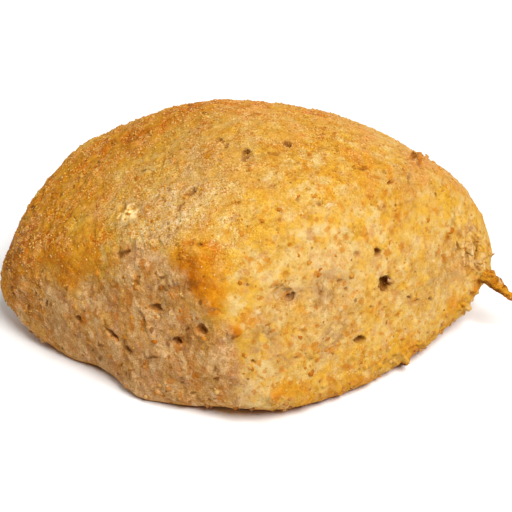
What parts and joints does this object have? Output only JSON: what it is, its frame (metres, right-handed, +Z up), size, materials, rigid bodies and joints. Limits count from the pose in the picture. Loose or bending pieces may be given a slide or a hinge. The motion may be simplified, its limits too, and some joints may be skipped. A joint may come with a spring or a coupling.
{
  "type": "whole grain bun",
  "caption": "Whole grain bread bun cut square, a low domed pillow with bulging cut sides, open pores, a flat base and a thin twisted dough tail at one tip.",
  "frame": {"origin": "on the tray, under the middle of the bun's box", "axes": "+X from the blunt left tip to the tip with the tail, +Y away from the ridge between the cut front sides, +Z up"},
  "size_m": [0.1144, 0.0808, 0.0514],
  "materials": {
    "crust": null
  },
  "bodies": {
    "root": {"bun": "crust"}
  },
  "joints": []
}
